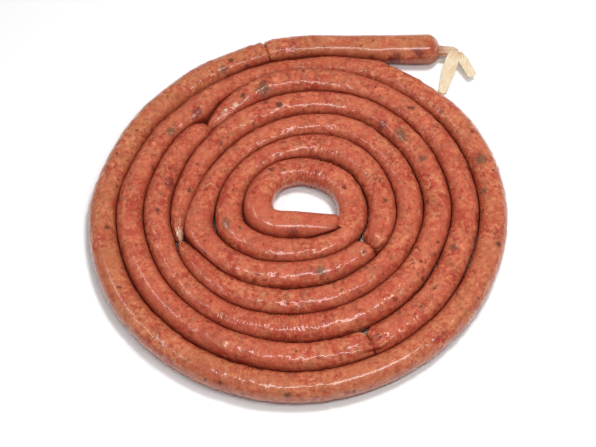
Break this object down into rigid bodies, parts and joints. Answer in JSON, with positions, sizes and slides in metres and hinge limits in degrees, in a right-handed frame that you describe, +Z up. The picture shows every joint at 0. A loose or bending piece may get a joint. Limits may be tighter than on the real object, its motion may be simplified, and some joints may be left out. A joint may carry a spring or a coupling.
{
  "type": "fresh sausage coil",
  "caption": "Fresh sausage in a natural casing, twisted into links and wound into a flat round coil, with flat casing tails at its outer end.",
  "frame": {"origin": "centre of the bounding box on the surface it lies on", "axes": "+Z up out of the coil's plane; the outer end lies straight along X on the +Y side, its tip towards +X"},
  "size_m": [0.3474, 0.348, 0.0263],
  "materials": {
    "sausage": "moist natural casing over coarse minced pork",
    "twisted_casing": "moist gathered natural casing",
    "casing": "satin empty natural casing"
  },
  "bodies": {
    "root": {"link_1": "sausage", "link_2": "sausage", "link_3": "sausage", "link_4": "sausage", "link_5": "sausage", "link_6": "sausage", "twist_1": "twisted_casing", "twist_2": "twisted_casing", "twist_3": "twisted_casing", "twist_4": "twisted_casing", "twist_5": "twisted_casing", "casing_neck": "twisted_casing", "casing_tail_front": "casing", "casing_tail_back": "casing"}
  },
  "joints": []
}
